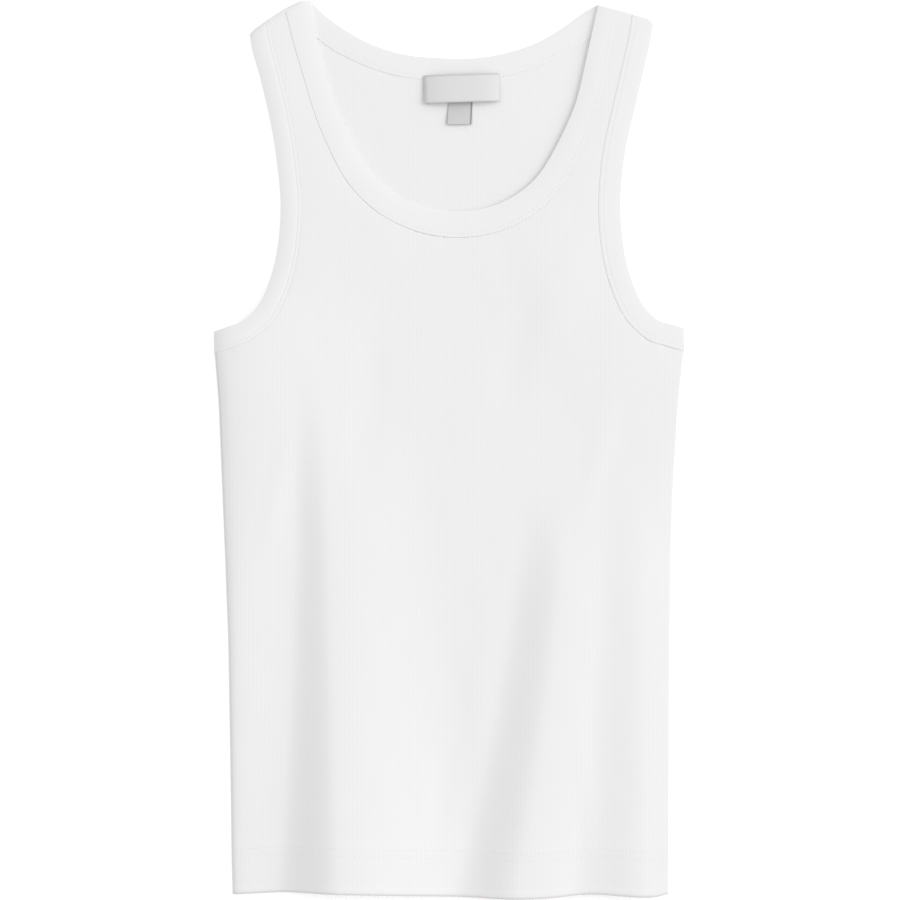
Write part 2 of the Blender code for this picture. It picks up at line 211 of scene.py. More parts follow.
shoulderRise = {  # the straps end in a soft round: its height over the straight line, from armhole to neck
    "reach": 60 * mm,
    "share": (0, 0.04, 0.12, 0.3, 0.6, 0.85, 1),
    "left": (2.0 * mm, 3.3 * mm, 4.2 * mm, 4.8 * mm, 5.4 * mm, 4.3 * mm, 1.1 * mm),
    "right": (3.2 * mm, 4.7 * mm, 5.0 * mm, 4.1 * mm, 2.6 * mm, 1.5 * mm, 0.8 * mm),
}
strapStack = {  # where the front rises over the back bindings: up the straps, and near the armholes
    "start": 0.525, "slope": 0.040, "armholeReach": 0.016, "armholeSlope": 0.100,
}
neckDip = {"depth": 0.45 * mm, "reach": 30 * mm}  # the front sinks a little towards the neck
# faint creases: ends of each line, height of the crease (a trough if below zero) and its half width
frontCreases = (
    ((-0.128, 0.205), (-0.102, 0.330), 0.35 * mm, 0.011),
    ((-0.060, 0.250), (-0.048, 0.415), -0.25 * mm, 0.016),
    ((0.012, 0.060), (0.030, 0.210), 0.30 * mm, 0.014),
    ((0.085, 0.240), (0.112, 0.350), 0.35 * mm, 0.012),
    ((0.028, 0.300), (0.060, 0.425), -0.30 * mm, 0.018),
    ((-0.010, 0.015), (-0.002, 0.120), -0.30 * mm, 0.012),
    ((0.095, 0.020), (0.088, 0.115), 0.30 * mm, 0.010),
    ((0.066, 0.345), (0.072, 0.470), 0.70 * mm, 0.036),
)
backCreases = (
    ((-0.110, 0.020), (-0.086, 0.190), 0.22 * mm, 0.009),
    ((-0.035, 0.080), (-0.052, 0.260), 0.18 * mm, 0.012),
    ((0.048, 0.010), (0.064, 0.150), 0.22 * mm, 0.010),
    ((0.105, 0.150), (0.090, 0.330), 0.20 * mm, 0.011),
    ((-0.020, 0.300), (0.015, 0.440), 0.16 * mm, 0.014),
)
unevenness = {  # of steamed cloth: waves as radians across and up a metre and a phase, and their heights
    "waves": ((61, 23, 0.4), (-97, 47, 1.9), (149, -31, 3.1), (211, 83, 5.2)),
    "front": 0.08 * mm, "back": 0.05 * mm,
}


def foldHeight(x, h):
    total = 0
    for hem, mid, top, topHeight, lift, rise, topWidth, fall, fade in zip(*folds.values()):
        t = np.clip(h / topHeight, 0, 1)
        ridge = hem * (1 - t) * (1 - 2 * t) + 4 * mid * t * (1 - t) + top * t * (2 * t - 1)
        narrowed = (topWidth + (rise - topWidth) * (1 - t) ** 2) / rise
        width = np.where(x < ridge, rise * narrowed, fall * (fallKept + (1 - fallKept) * narrowed))
        total = total + lift * narrowed * ease(foldEnd * (1 - t)) * (1 - fade * t) * hump(x - ridge, width)
    return total


def creaseHeight(x, h, creases):
    total = 0
    for start, end, height, width in creases:
        start, run = np.array(start), np.subtract(end, start)
        length = np.hypot(*run)
        t = ((x - start[0]) * run[0] + (h - start[1]) * run[1]) / length**2
        aside = ((x - start[0]) * run[1] - (h - start[1]) * run[0]) / length
        total = total + height * hump(t - 0.5, 0.5) * hump(aside, width)
    return total


def waver(x, h):
    waves = unevenness["waves"]
    return sum(np.sin(x * across + h * up + phase) for across, up, phase in waves) / len(waves)


def nearArmholes(x, h):
    return np.minimum(*(nearest(x, h, armholePaths[side]) for side in sides))


def bySide(name, x):
    return np.where(x < 0, sideLie["left"][name], sideLie["right"][name])


def sideColumn(name, x, h):
    left, right = (np.interp(h, sideLie["height"], sideLie[side][name]) for side in sides)
    return np.where(x < 0, left, right)


def shoulderCurl(x, h):
    # 0 at the shoulder's fold, 1 where the cloth lies flat again
    return quarterRound(shoulderDistance(x, h) / bySide("shoulderRoll", x))


def bindingCurl(x, h):
    # how much of a binding's thickness is left, near the side folds and the shoulders
    start, kept = sideLie["bindingStart"], sideLie["bindingKept"]
    atSide = quarterRound(start + (1 - start) * sideDistance(x, h) / bySide("bindingCurl", x))
    return kept + (1 - kept) * shoulderCurl(x, h) * np.where(h < sideLie["bindingsClear"], atSide, 1)


def frontSurface(x, h):
    # the outside of the front panel, without its seams and hem
    side = sideDistance(x, h)
    beyond = nearArmholes(x, h) - strapStack["armholeReach"]
    overBindings = 1 - ease(beyond / strapStack["armholeSlope"])
    onStraps = ease((h - strapStack["start"]) / strapStack["slope"])
    stack = (garment["bindingRest"] - garment["frontRest"]) * np.maximum(overBindings, onStraps)
    height = garment["frontRest"] + garment["solidWall"] + stack + foldHeight(x, h)
    height = height - neckDip["depth"] * hump(nearest(x, h, neckPaths["front"]), neckDip["reach"])
    height = height + creaseHeight(x, h, frontCreases) + unevenness["front"] * waver(x, h)
    puff = sideColumn("puff", x, h) * (1 - ease((h - sideLie["puffTop"]) / sideLie["puffFade"]))
    puff = puff * (1 - np.exp(-side / sideColumn("rise", x, h))) * hump(side, sideColumn("reach", x, h))
    height = height + puff
    atUnderarm = ease((h - sideLie["underarm"]) / sideLie["underarmSlope"])
    low = sideLie["edgeTop"] + sideLie["underarmLift"] * atUnderarm
    height = low + (height - low) * quarterRound(side / sideColumn("roll", x, h))
    drop = sideLie["edgeTop"] - sideLie["foldLevel"]
    height = height - drop * (1 - quarterRound(side / bySide("foldWidth", x)))
    return shoulderLevel + (height - shoulderLevel) * shoulderCurl(x, h)


# cloth making
sharpAngle = 50  # edges bent by more degrees than this stay sharp


def roundShoulders(x, h):
    # heights with the soft round of the straps' ends
    lifts = []
    for side in sides:
        corner, run = armholeMarks[side][-1], shoulderRuns[side]
        length = np.linalg.norm(np.subtract(neckPoints[side], corner))
        share = ((x - corner[0]) * run[0] + (h - corner[1]) * run[1]) / length
        lifts.append(np.interp(share, shoulderRise["share"], shoulderRise[side]))
    lift = np.where(x < 0, *lifts)
    return h + lift * (1 - ease(shoulderDistance(x, h) / shoulderRise["reach"]))


def toSpace(x, h, z):
    return np.stack([x, roundShoulders(x, h) - garment["length"] / 2, z], axis=-1)


def layGrid(bm, points, cloth, paintedShade):
    # a grid of faces over an array of rows of points; cloth holds each point's place in the flat cloth,
    # and the last array how much painted shade darkens its colour there, from 0 to 1
    rows, columns = points.shape[0] - 1, points.shape[1] - 1
    grain = bm.verts.layers.float_vector.get("grain") or bm.verts.layers.float_vector.new("grain")
    paintedShadeLayer = bm.verts.layers.float.get("paintedShade") or bm.verts.layers.float.new("paintedShade")
    made = bmesh.ops.create_grid(bm, x_segments=columns, y_segments=rows, size=1)["verts"]
    for vert in made:
        column = round((vert.co.x + 1) / 2 * columns)
        row = round((vert.co.y + 1) / 2 * rows)
        vert.co = points[row, column]
        vert[grain] = (*cloth[row, column], 0)
        vert[paintedShadeLayer] = paintedShade[row, column]


def finishMesh(name, bm, material):
    # the cloth's own coordinates, where it has them, go from its points to a UV map
    grain = bm.verts.layers.float_vector.get("grain")
    if grain:
        grainMap = bm.loops.layers.uv.new("grainMap")
        for face in bm.faces:
            for loop in face.loops:
                loop[grainMap].uv = loop.vert[grain].xy
    bmesh.ops.recalc_face_normals(bm, faces=bm.faces)
    mesh = bpy.data.meshes.new(name)
    bm.to_mesh(mesh)
    bm.free()
    mesh.shade_smooth()
    mesh.set_sharp_from_angle(angle=radians(sharpAngle))
    mesh.materials.append(material)
    piece = bpy.data.objects.new(name, mesh)
    scene.collection.objects.link(piece)
    return piece


def stripStations(path, count, inwards, firstCross, lastCross):
    # stations along a binding's folded edge, each with the direction into the cloth
    edge = evenly(path, count)
    lengths = lengthsAlong(edge)
    ahead = np.gradient(edge, axis=0)
    normal = inwards * np.stack([-ahead[:, 1], ahead[:, 0]], axis=1)
    normal /= np.linalg.norm(normal, axis=1)[:, None]
    first = (1 - ease(lengths / bindings["endTurn"]))[:, None]
    last = (1 - ease((lengths[-1] - lengths) / bindings["endTurn"]))[:, None]
    cross = normal * (1 - first) + np.array(firstCross) * first
    cross = cross * (1 - last) + np.array(lastCross) * last
    cross /= np.linalg.norm(cross, axis=1)[:, None]
    cross /= np.sum(cross * normal, axis=1)[:, None]
    return {"edge": edge, "cross": cross, "lengths": lengths}


bindings = {
    "armholeWidth": {"left": 14.4 * mm, "right": 14.9 * mm},
    "neckWidth": {  # share of the way from the left shoulder to the right one, and the width there
        "front": (
            (0, 18.0 * mm), (0.07, 16.2 * mm), (0.15, 14.7 * mm), (0.25, 16.1 * mm), (0.35, 17.1 * mm),
            (0.45, 17.8 * mm), (0.55, 17.8 * mm), (0.70, 17.0 * mm), (0.85, 15.6 * mm), (1, 14.4 * mm),
        ),
        "back": (
            (0, 16.8 * mm), (0.09, 16.9 * mm), (0.15, 15.9 * mm), (0.21, 14.9 * mm), (0.50, 14.9 * mm),
            (0.79, 14.9 * mm), (0.86, 15.5 * mm), (0.92, 16.6 * mm), (1, 17.0 * mm),
        ),
    },
    "layer": 0.45 * mm,  # one thickness of the folded strip
    "wall": 2.0 * mm,  # both thicknesses with the panel between them
    # the upper face sinks this deep towards the fold, over this width
    "foldDeep": {"left": 0.85 * mm, "right": 0.12 * mm, "front": 0.40 * mm, "back": 0.12 * mm},
    "foldRound": {"left": 9.5 * mm, "right": 4.0 * mm, "front": 9.0 * mm, "back": 4.0 * mm},
    "tuck": 3.0 * mm,  # how near the panel's raw edge comes to the fold
    "needles": (0.6 * mm, 2.9 * mm),  # the two stitch lines, in from the seam
    "grooves": {  # how deep each of them draws in
        "left": (0.15 * mm, 0.13 * mm), "right": (0.13 * mm, 0.10 * mm),
        "front": (0.09 * mm, 0.03 * mm), "back": (0.08 * mm, 0.03 * mm),
    },
    "grooveWidth": 0.8 * mm,
    "bulge": 0.05 * mm,  # the upper face swells between the fold and the stitching
    "innerEdge": (0.20 * mm, 0.3 * mm),  # how deep and how wide the edge at the seam is rounded
    "seamLine": (0.15 * mm, 0.4 * mm),  # painted shade in the ditch along the seam: full to here, and over this width
    "seamShade": {  # shares of the way along, and how dark the ditch's painted shade is there
        "left": ((0, 1), (0.2, 0.2)), "right": ((0, 1), (0.6, 0.6)), "back": ((0, 1), (0, 0)),
        "front": ((0, 0.45, 0.60, 1), (0.75, 0.75, 0.20, 0.10)),
    },
    "seamRise": 0.64 * mm,  # the panel rises this much beside its seam, over this width
    "seamSlope": 80.0 * mm,
    "strapsStart": 0.50, "strapsSlope": 0.05,  # all of a strap rises so, above this height
    "slotRise": 0.25 * mm,  # the panel lies at this height between the layers of the strip
    "slotStart": 0.3 * mm, "slotSlope": 1.0 * mm,  # and sinks to it past the seam
    "settle": 0.1 * mm,  # a front strip sinks no further than this below the front's rest
    "endTurn": 20 * mm,  # a strip's cross lines turn to the shoulder or the side over this length
    "stations": 200,
    "merge": 0.002 * mm,
}
strips = {}
for side in sides:
    inwards = -1 if side == "left" else 1
    strips[side] = stripStations(
        armholePaths[side], bindings["stations"], inwards, (0, -1), shoulderRuns[side]
    )
    strips[side]["width"] = np.full(bindings["stations"] + 1, bindings["armholeWidth"][side])
for face in ("front", "back"):
    lowest = int(np.argmin(neckPaths[face][:, 1]))
    halves = (neckPaths[face][: lowest + 1], neckPaths[face][lowest:])
    edge = np.vstack([evenly(halves[0], bindings["stations"]), evenly(halves[1], bindings["stations"])[1:]])
    strips[face] = stripStations(
        edge, 2 * bindings["stations"], -1, -shoulderRuns["left"], -shoulderRuns["right"]
    )
    widths = curveThrough(bindings["neckWidth"][face])
    share = np.linspace(0, 1, 2 * bindings["stations"] + 1)
    strips[face]["width"] = np.interp(share, widths[:, 0], widths[:, 1])
for name, strip in strips.items():
    for feature in ("foldDeep", "foldRound", "grooves"):
        strip[feature] = bindings[feature][name]
    strip["seamShade"] = np.interp(np.linspace(0, 1, len(strip["edge"])), *bindings["seamShade"][name])
print("outline and strips worked out")


def stripLine(strip, inFromEdge):
    return strip["edge"] + strip["cross"] * np.reshape(inFromEdge, (-1, 1))


# shader groups: each takes the cloth's own coordinates and gives a height and a tone; the tone paints shade
# into the low parts
def newGroup(name, values):
    group = bpy.data.node_groups.new(name, "ShaderNodeTree")
    group.interface.new_socket("Cloth", in_out="INPUT", socket_type="NodeSocketVector")
    for label, value in values.items():
        socket = group.interface.new_socket(label, in_out="INPUT", socket_type="NodeSocketFloat")
        socket.default_value = value
    for label in ("Height", "Tone"):
        group.interface.new_socket(label, in_out="OUTPUT", socket_type="NodeSocketFloat")
    start = group.nodes.new("NodeGroupInput")
    end = group.nodes.new("NodeGroupOutput")
    split = group.nodes.new("ShaderNodeSeparateXYZ")
    group.links.new(start.outputs["Cloth"], split.inputs[0])
    return group, start, end, split


def mathNode(tree, operation, first, second=None, third=None):
    node = tree.nodes.new("ShaderNodeMath")
    node.operation = operation
    for socket, value in zip(node.inputs, (first, second, third)):
        if value is None:
            continue
        if isinstance(value, (int, float)):
            socket.default_value = value
        else:
            tree.links.new(value, socket)
    return node.outputs[0]


def roundedRows(tree, value, turn=np.pi):
    # rounded humps, one for each whole step of the value
    return mathNode(tree, "ABSOLUTE", mathNode(tree, "SINE", mathNode(tree, "MULTIPLY", value, turn)))


ribValues = {"Pitch": 1.7 * mm, "Course": 1.1 * mm, "Fuzz": 0.2}
ribLook = {
    "roundness": 0.65,  # lower is squarer
    "loops": (0.25, 0.75),  # how much of the height is in the loops, and how much in the ribs
    # painted shade of the valleys: scale and offset of the tone
    "tone": (0.7, 0.3),
    "fuzzScale": 1400, "fuzzDetail": 3,
}
threads = {"label": 0.22 * mm, "tab": 0.20 * mm}  # width of the woven threads
satin = {"offset": 2.0, "warp": 5, "warpShare": (0.5, 0.5)}  # each row of floats starts this far along


def makeRibKnit():
    # rounded ribs along V with the little V-shaped loops of the knit on them
    group, start, end, split = newGroup("ribKnit", ribValues)
    rib = mathNode(group, "DIVIDE", split.outputs[0], start.outputs["Pitch"])
    ridge = mathNode(group, "POWER", roundedRows(group, rib), ribLook["roundness"])
    offCentre = mathNode(group, "SUBTRACT", mathNode(group, "FRACT", rib), 0.5)
    course = mathNode(group, "DIVIDE", split.outputs[1], start.outputs["Course"])
    chevron = mathNode(group, "ADD", course, mathNode(group, "ABSOLUTE", offCentre))
    loops = mathNode(group, "MULTIPLY_ADD", roundedRows(group, chevron), *ribLook["loops"])
    knit = mathNode(group, "MULTIPLY", ridge, loops)
    noise = group.nodes.new("ShaderNodeTexNoise")
    noise.inputs["Scale"].default_value = ribLook["fuzzScale"]
    noise.inputs["Detail"].default_value = ribLook["fuzzDetail"]
    group.links.new(start.outputs["Cloth"], noise.inputs["Vector"])
    fuzz = mathNode(group, "MULTIPLY", noise.outputs["Fac"], start.outputs["Fuzz"])
    group.links.new(mathNode(group, "ADD", knit, fuzz), end.inputs["Height"])
    # the tone is painted shade: lower in the rib valleys and between the loops
    group.links.new(mathNode(group, "MULTIPLY_ADD", knit, *ribLook["tone"]), end.inputs["Tone"])
    return group


def makeSatinWeave():
    # long floats of the warp, stepped along from row to row
    group, start, end, split = newGroup("satinWeave", {"Thread": threads["label"]})
    width = start.outputs["Thread"]
    across, up = (mathNode(group, "DIVIDE", split.outputs[axis], width) for axis in (0, 1))
    stepped = mathNode(group, "MULTIPLY_ADD", mathNode(group, "FLOOR", up), satin["offset"], across)
    warp = roundedRows(group, stepped, np.pi / satin["warp"])
    warp = mathNode(group, "MULTIPLY_ADD", warp, *satin["warpShare"])
    height = mathNode(group, "MULTIPLY", warp, roundedRows(group, up))
    # the tone is painted shade: darker in the dips between the floats
    for label in ("Height", "Tone"):
        group.links.new(height, end.inputs[label])
    return group


ribKnit = makeRibKnit()
satinWeave = makeSatinWeave()


clothLook = {  # tone is the share of the cloth's own colour in its mix with the shade: painted shade in the knit's valleys and the weave's dips, and random patches
    "patchScale": 45, "patchDetail": 2, "patchTone": (0.3, 0.35), "knitShadeWeight": 0.5,
    "specular": 0.2, "sheenRoughness": 0.5,
}


def mixColours(tree, share, first, second):
    # each colour is a socket or three numbers
    mix = tree.nodes.new("ShaderNodeMix")
    mix.data_type = "RGBA"
    for label, colour in (("A", first), ("B", second)):
        if isinstance(colour, tuple):
            mix.inputs[label].default_value = (*colour, 1)
        else:
            tree.links.new(colour, mix.inputs[label])
    tree.links.new(share, mix.inputs["Factor"])
    return mix.outputs["Result"]


def clothMaterial(name, knit, values, colour, shade, edgeShade, bumpDepth, roughness, sheen):
    material = bpy.data.materials.new(name)
    material.use_nodes = True
    tree = material.node_tree
    shader = tree.nodes["Principled BSDF"]
    grainMap = tree.nodes.new("ShaderNodeUVMap")
    grainMap.uv_map = "grainMap"
    cloth = tree.nodes.new("ShaderNodeGroup")
    cloth.node_tree = knit
    for label, value in values.items():
        cloth.inputs[label].default_value = value
    tree.links.new(grainMap.outputs["UV"], cloth.inputs["Cloth"])
    patches = tree.nodes.new("ShaderNodeTexNoise")
    patches.inputs["Scale"].default_value = clothLook["patchScale"]
    patches.inputs["Detail"].default_value = clothLook["patchDetail"]
    tree.links.new(grainMap.outputs["UV"], patches.inputs["Vector"])
    worn = mathNode(tree, "MULTIPLY_ADD", patches.outputs["Fac"], *clothLook["patchTone"])
    tone = mathNode(tree, "MULTIPLY_ADD", cloth.outputs["Tone"], clothLook["knitShadeWeight"], worn)
    # the painted shade attribute pulls the colour towards edgeShade: painted shade along hems, seams and
    # label edges
    paintedShade = tree.nodes.new("ShaderNodeAttribute")
    paintedShade.attribute_name = "paintedShade"
    mixed = mixColours(tree, paintedShade.outputs["Fac"], mixColours(tree, tone, shade, colour), edgeShade)
    tree.links.new(mixed, shader.inputs["Base Color"])
    bump = tree.nodes.new("ShaderNodeBump")
    bump.inputs["Strength"].default_value = 1
    bump.inputs["Distance"].default_value = bumpDepth
    tree.links.new(cloth.outputs["Height"], bump.inputs["Height"])
    tree.links.new(bump.outputs["Normal"], shader.inputs["Normal"])
    shader.inputs["Roughness"].default_value = roughness
    shader.inputs["Specular IOR Level"].default_value = clothLook["specular"]
    shader.inputs["Sheen Weight"].default_value = sheen
    shader.inputs["Sheen Roughness"].default_value = clothLook["sheenRoughness"]
    return material


# edgeShade is the painted shade for the hem's edge, the seams' ditches and the labels' edges
materials = {
    "panel": clothMaterial(
        "ribJersey", ribKnit, ribValues, colour=(0.841, 0.840, 0.842), shade=(0.826, 0.825, 0.828),
        edgeShade=(0.70, 0.70, 0.702), bumpDepth=0.05 * mm, roughness=0.95, sheen=0.08,
    ),
    "binding": clothMaterial(
        "ribBinding", ribKnit, ribValues, colour=(0.846, 0.845, 0.847), shade=(0.833, 0.832, 0.834),
        edgeShade=(0.50, 0.50, 0.502), bumpDepth=0.04 * mm, roughness=0.95, sheen=0.08,
    ),
    "label": clothMaterial(
        "labelWeave", satinWeave, {"Thread": threads["label"]}, colour=(0.735,) * 3, shade=(0.69,) * 3,
        edgeShade=(0.57,) * 3, bumpDepth=0.03 * mm, roughness=0.5, sheen=0.1,
    ),
    "tab": clothMaterial(
        "tabWeave", satinWeave, {"Thread": threads["tab"]}, colour=(0.635,) * 3, shade=(0.59,) * 3,
        edgeShade=(0.26,) * 3, bumpDepth=0.03 * mm, roughness=0.5, sheen=0.1,
    ),
}
thread = bpy.data.materials.new("cottonThread")
thread.use_nodes = True
threadShader = thread.node_tree.nodes["Principled BSDF"]
threadShader.inputs["Base Color"].default_value = (0.84, 0.84, 0.845, 1)
threadShader.inputs["Roughness"].default_value = 0.8
print("materials made")


# panels
panel = {
    "columns": 64,
    "edgeCrowding": 1.5,
    "hemRows": (  # mm above the hem
        0, 0.15, 0.4, 0.8, 1.3, 2, 2.7, 3.4, 4.1, 4.8, 5.6, 7, 10, 14, 18, 21, 23.2, 24.2, 24.7, 25.2, 25.7,
        26.7, 28.2, 29.2, 29.7, 30.2, 30.7, 31.4, 32.4, 35,
    ),
    "hemLevel": 0.035,  # above this the rows let go of the hem's shape
    "bodyRows": 60,
    "middleRows": 24,
    "lastShares": (0.45, 0.75, 0.92, 1),  # the rows crowd towards the shoulder's fold
    "underarmLevel": 0.3640,  # where the rows of the body end on the middle line
    "merge": 0.02 * mm,
    "grainSteps": 24,
}
panelRest = {  # the front's underside near its side folds, and how the back lies
    "sideSink": 0.15 * mm, "sideReach": 1.0 * mm,
    "topRise": 0.85, "underRise": 0.9,  # shares of the rise beside a seam
    "hemLayer": 0.35 * mm, "hemLift": 0.6 * mm,
}
hem = {
    "bandTop": 31.0 * mm, "bandStep": 5.0 * mm, "extraLayer": 0.3 * mm,
    "needles": (25.2 * mm, 30.2 * mm), "grooveDepth": 0.04 * mm, "grooveWidth": 1.0 * mm,
    "edgeRound": 1.6 * mm, "edgeDrop": 1.3 * mm,
    "lipAt": 3.6 * mm, "lip": 0.10 * mm, "lipWidth": 2.2 * mm, "lipGap": 1.3,  # from lip to dip, in widths
    "backRise": 1.5 * mm,  # the back hem stops this much short of the front one
    "shadeStart": 0.5 * mm, "paintedShade": 1.8 * mm,  # the painted shade along the hem's edge fades from here, over this height
    "sideShadeLine": (1.05 * mm, 1.15 * mm),  # place and half width of the painted shade line in from the left side
    "sideShare": ((0.20, 0.30), (0.6, 1.0)),  # and how strong it is at these heights
}


def paintedShadeShare(x, h, hemRise):
    # painted shade: 1 along the hem's edge, and less in a line along the left side's fold
    above = h - hemHeight(x) - hemRise
    place, width = hem["sideShadeLine"]
    line = hump(x - sideAcross("left", h) - place, width) * np.interp(h, *hem["sideShare"])
    edge = 1 - ease((above - hem["shadeStart"]) / hem["paintedShade"])
    return np.maximum(np.where(x < 0, line, 0), edge)


def panelHalf(side, neck, hemRise):
    # rows of points over half a panel, from the outer edge to the middle line or the neck's raw edge
    rises = np.array(panel["hemRows"]) * mm
    armhole = stripLine(strips[side], bindings["tuck"])
    high = armhole[0, 1]
    low = hemHeight(sideAcross(side, 0)) + hemRise
    upper = np.linspace(rises[-1], high - low, panel["bodyRows"] + 1)[1:]
    rises = np.concatenate([rises, upper])
    outerHeights = low + rises
    outer = np.stack([sideAcross(side, outerHeights), outerHeights], axis=1)
    outer = np.vstack([outer, armhole[2::2]])

    neckEdge = stripLine(strips[neck], bindings["tuck"])
    middle = len(neckEdge) // 2
    halfNeck = neckEdge[middle::-1] if side == "left" else neckEdge[middle:]
    centre = halfNeck[0, 0]
    hemLevel = hemHeight(centre) + hemRise
    inner = np.stack([np.full(len(rises), centre), hemLevel + rises], axis=1)
    stretch = (panel["underarmLevel"] - hemLevel) / rises[-1]
    bend = ease((rises - panel["hemLevel"]) / (rises[-1] - panel["hemLevel"]))
    inner[:, 1] = hemLevel + rises * (1 + (stretch - 1) * bend)
    neckRows = len(outer) - len(inner) - panel["middleRows"]
    up = np.linspace(inner[-1], halfNeck[0], panel["middleRows"] + 1)[1:]
    inner = np.vstack([inner, up, evenly(halfNeck, neckRows)[1:]])

    shares = (np.arange(panel["columns"] + 1) / panel["columns"]) ** panel["edgeCrowding"]
    rows = outer[:, None, :] + (inner - outer)[:, None, :] * shares[None, :, None]
    # the lowest rows follow the hem
    followed = np.zeros(len(outer))
    followed[: len(rises)] = 1 - bend
    straight = hemHeight(outer[:, 0])[:, None] * (1 - shares) + hemHeight(inner[:, 0])[:, None] * shares
    rows[:, :, 1] += followed[:, None] * (hemHeight(rows[:, :, 0]) - straight)
    last = rows[-1] - rows[-2]
    return np.concatenate([rows[:-1], [rows[-2] + last * share for share in panel["lastShares"]]])


def grainAcross(x, h):
    # how far a point lies from the middle line, measured over the folds
    steps = panel["grainSteps"]
    heights = np.stack([foldHeight(x * share, h) for share in np.linspace(0, 1, steps + 1)])
    runs = np.hypot(np.diff(heights, axis=0), x / steps)
    return np.sign(x) * runs.sum(axis=0)


def doubled(above):
    # 1 where the hem's cloth is doubled, 0 above its stitching
    return 1 - ease((above - hem["bandTop"]) / hem["bandStep"])


def hemGrooves(above):
    return hem["grooveDepth"] * sum(hump(above - needle, hem["grooveWidth"]) for needle in hem["needles"])


def hemShape(x, h, height):
    # doubled cloth below the stitching, its two needle grooves, a soft lip and the rounded edge
    above = h - hemHeight(x)
    height = height + hem["extraLayer"] * doubled(above) - hemGrooves(above)
    pastLip = above - hem["lipAt"]
    dip = hump(pastLip - hem["lipGap"] * hem["lipWidth"], hem["lipWidth"])
    height = height + hem["lip"] * (hump(pastLip, hem["lipWidth"]) - dip)
    return height - hem["edgeDrop"] * (1 - quarterRound(above / hem["edgeRound"]))


def seamRise(x, h, neck):
    # a panel rises towards its bindings, and sinks between their layers past the seam
    around = [strips[name] for name in (*sides, neck)]
    beyond = np.min([nearest(x, h, strip["edge"], strip["width"]) for strip in around], axis=0)
    onStraps = ease((h - bindings["strapsStart"]) / bindings["strapsSlope"])
    beside = np.maximum(1 - ease(beyond / bindings["seamSlope"]), onStraps)
    inSlot = ease((-beyond - bindings["slotStart"]) / bindings["slotSlope"])
    return bindings["seamRise"] * beside - (bindings["seamRise"] - bindings["slotRise"]) * inSlot


def frontPanelTop(x, h):
    return hemShape(x, h, frontSurface(x, h) + seamRise(x, h, "front"))


def frontPanelBelow(x, h, top):
    wall = garment["wall"] + hem["extraLayer"] * doubled(h - hemHeight(x))
    sink = panelRest["sideSink"] * (1 - ease(sideDistance(x, h) / panelRest["sideReach"]))
    return np.minimum(np.maximum(top - wall, garment["frontRest"] - sink), top - garment["leastWall"])


def backCurl(x, h, height):
    # the underside rounds up to the side folds and the shoulders
    level = sideLie["foldLevel"] * (1 - quarterRound(sideDistance(x, h) / bySide("foldWidth", x)))
    shoulder = shoulderLevel * (1 - shoulderCurl(x, h))
    return np.maximum(height, np.maximum(level, shoulder))


def backPanelTop(x, h):
    height = garment["wall"] + panelRest["topRise"] * seamRise(x, h, "back")
    height = height + creaseHeight(x, h, backCreases) + unevenness["back"] * (1 + waver(x, h))
    height = height + panelRest["hemLayer"] * doubled(h - hemHeight(x) - hem["backRise"])
    return np.maximum(height, backCurl(x, h, 0) + garment["leastWall"])


def backPanelBelow(x, h, top):
    above = h - hemHeight(x) - hem["backRise"]
    height = panelRest["underRise"] * seamRise(x, h, "back") + creaseHeight(x, h, backCreases)
    lift = panelRest["hemLift"] * (1 - quarterRound(above / hem["edgeRound"]))
    return np.minimum(backCurl(x, h, height + hemGrooves(above) + lift), top - garment["leastWall"])


def buildPanel(name, neck, hemRise, topOf, belowOf):
    bm = bmesh.new()
    for side in sides:
        rows = panelHalf(side, neck, hemRise)
        x, h = rows[..., 0], rows[..., 1]
        across = grainAcross(x, h) if neck == "front" else x
        cloth = np.stack([across, h], axis=-1)
        layGrid(bm, toSpace(x, h, topOf(x, h)), cloth, paintedShadeShare(x, h, hemRise))
    bmesh.ops.remove_doubles(bm, verts=bm.verts, dist=panel["merge"])
    made = bmesh.ops.extrude_face_region(bm, geom=bm.faces, use_keep_orig=True)["geom"]
    under = [item for item in made if isinstance(item, bmesh.types.BMVert)]
    spots = np.array([vert.co for vert in under])
    x, h = spots[:, 0], spots[:, 1] + garment["length"] / 2
    for vert, z in zip(under, belowOf(x, h, spots[:, 2])):
        vert.co.z = z
    piece = finishMesh(name, bm, materials["panel"])
    return piece


backPanel = buildPanel("backPanel", "back", hem["backRise"], backPanelTop, backPanelBelow)
frontPanel = buildPanel("frontPanel", "front", 0, frontPanelTop, frontPanelBelow)
print("panels laid:", len(backPanel.data.polygons), len(frontPanel.data.polygons), "faces")


# bindings: strips folded round the raw edges
sectionMarks = {  # places in from the seam, from each stitch line and from the fold
    "seam": (0, 0.12 * mm, 0.4 * mm),
    "nearNeedle": (0, 0.4 * mm, 0.9 * mm),
    "farNeedle": (-0.8 * mm, -0.4 * mm, 0, 0.4 * mm, 0.8 * mm, 1.6 * mm, 3.0 * mm),
    "fold": (8.0 * mm, 6.0 * mm, 4.6 * mm, 3.2 * mm, 2.0 * mm, 1.1 * mm, 0.5 * mm, 0.2 * mm, 0),
    # round the fold: place, share of the fold's height, and what is added to it
    "turn": (
        (0.05 * mm, 1, -0.12 * mm), (0.15 * mm, 0.5, 0), (0.30 * mm, 0, 0.40 * mm), (0.70 * mm, 0, 0.06 * mm),
    ),
    "under": (1.1 * mm, 4.0 * mm, 8.0 * mm),
    "corner": 0.4 * mm, "cornerRise": 0.2 * mm, "lowerSlack": 0.05 * mm, "upperSlack": 0.03 * mm,
    "middle": 8.0 * mm,
}


